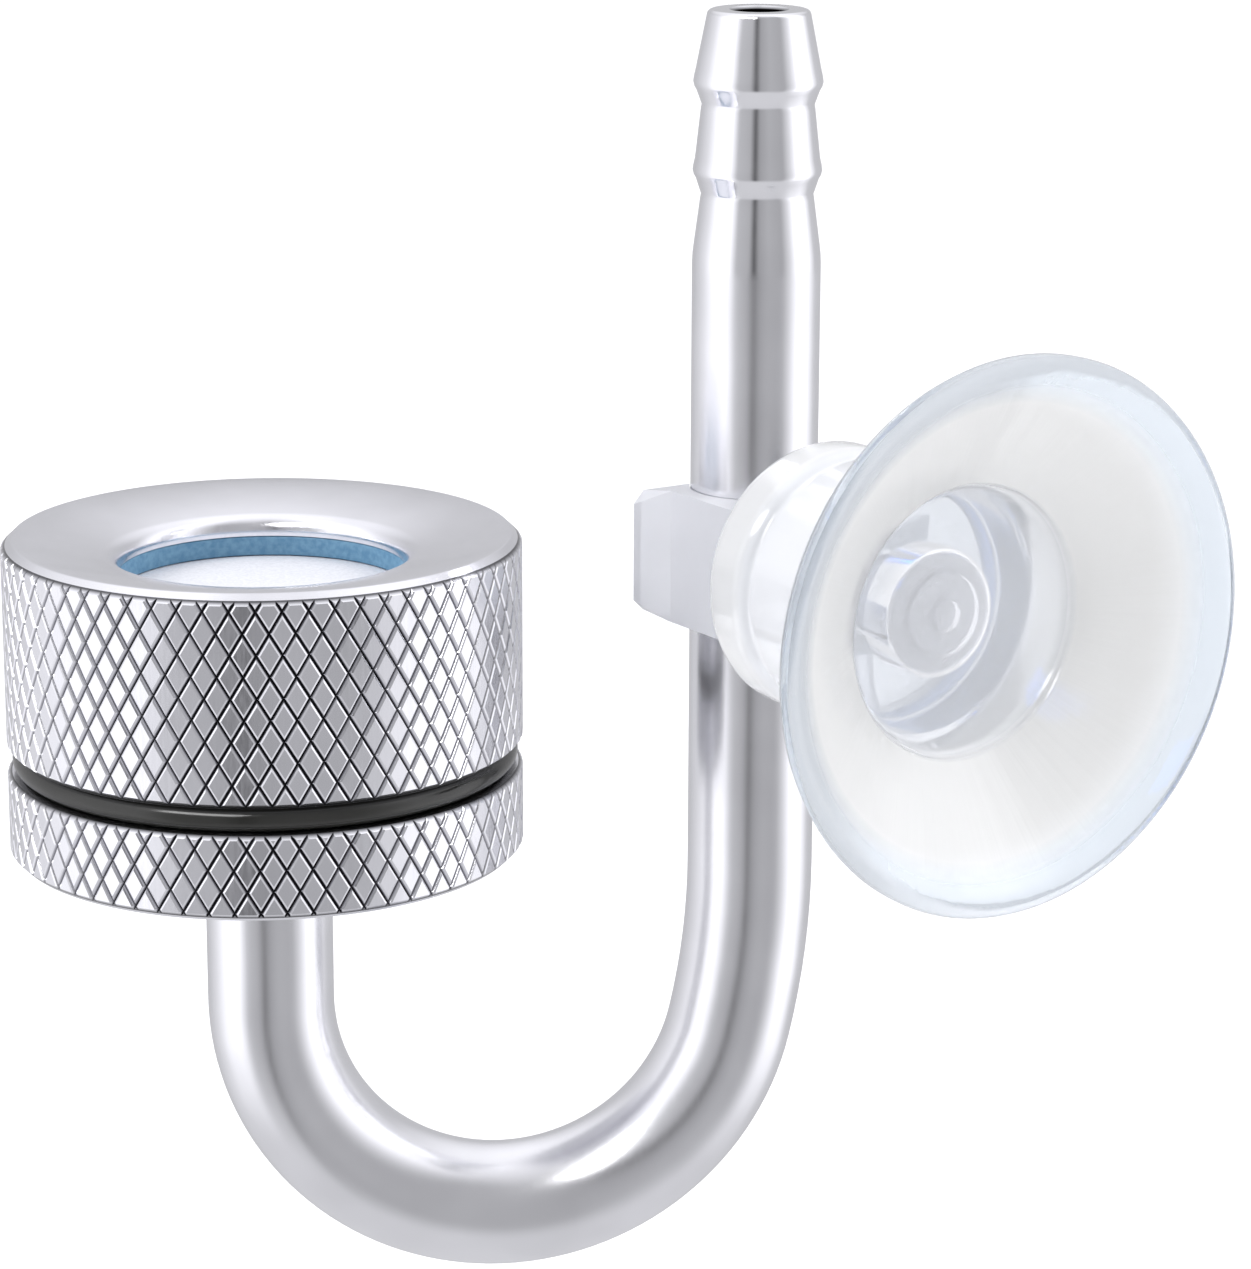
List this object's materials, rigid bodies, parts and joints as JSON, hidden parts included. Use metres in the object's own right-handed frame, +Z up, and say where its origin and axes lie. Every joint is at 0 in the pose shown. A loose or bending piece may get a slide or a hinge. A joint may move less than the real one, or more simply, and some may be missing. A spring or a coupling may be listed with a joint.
{
  "type": "aquarium CO2 diffuser",
  "caption": "J-shaped aluminium gas tube with a hose barb, a knurled screw-top diffuser head holding a white ceramic disc, a plastic clip and a clear suction cup.",
  "frame": {"origin": "centre of the suction cup's rim, on the glass plane y = 0", "axes": "-Y out of the suction cup into the glass, +Z up along the straight leg of the gas tube"},
  "size_m": [0.0381, 0.0346, 0.0506],
  "materials": {
    "cap_metal": "knurled, satin",
    "base_metal": "knurled, satin",
    "tube_metal": "satin, barbs polished",
    "blue_gasket": "matte silicone",
    "disc": "unglazed, fine-pored",
    "seat_silicone": "translucent silicone",
    "black_rubber": "satin nitrile rubber",
    "clip_plastic": "milky translucent",
    "cup_silicone": "clear, glossy"
  },
  "bodies": {
    "cup": {"suction_cup": "cup_silicone"},
    "clip": {"tube_clip": "clip_plastic"},
    "tube_and_base": {"gas_tube": "tube_metal", "knurled_base": "base_metal", "tube_seal_ring": "black_rubber", "body_o_ring": "black_rubber", "disc_seat_gasket": "seat_silicone"},
    "disc_and_gasket": {"cap_gasket": "blue_gasket", "ceramic_disc": "disc"},
    "cap": {"knurled_cap": "cap_metal"}
  },
  "joints": [
    {"name": "cup_turn", "type": "hinge", "parent": "cup", "child": "clip", "pos_m": [0, 0.0128, 0], "axis": [0, 1, 0], "continuous": true},
    {"name": "tube_swivel", "type": "hinge", "parent": "clip", "child": "tube_and_base", "pos_m": [0, 0.0165, 0], "axis": [0, 0, 1], "range_deg": [-170, 39]},
    {"name": "cap_lift", "type": "slide", "parent": "tube_and_base", "child": "disc_and_gasket", "axis": [0, 0, 1], "range_m": [0, 0.00282]},
    {"name": "cap_turn", "type": "hinge", "parent": "disc_and_gasket", "child": "cap", "pos_m": [-0.01758, 0.02458, 0], "axis": [0, 0, 1], "range_deg": [0, 1350]}
  ],
  "couplings": [
    {"joint": "cap_lift", "follows": "cap_turn", "m_per_rad": 0.00011937}
  ]
}
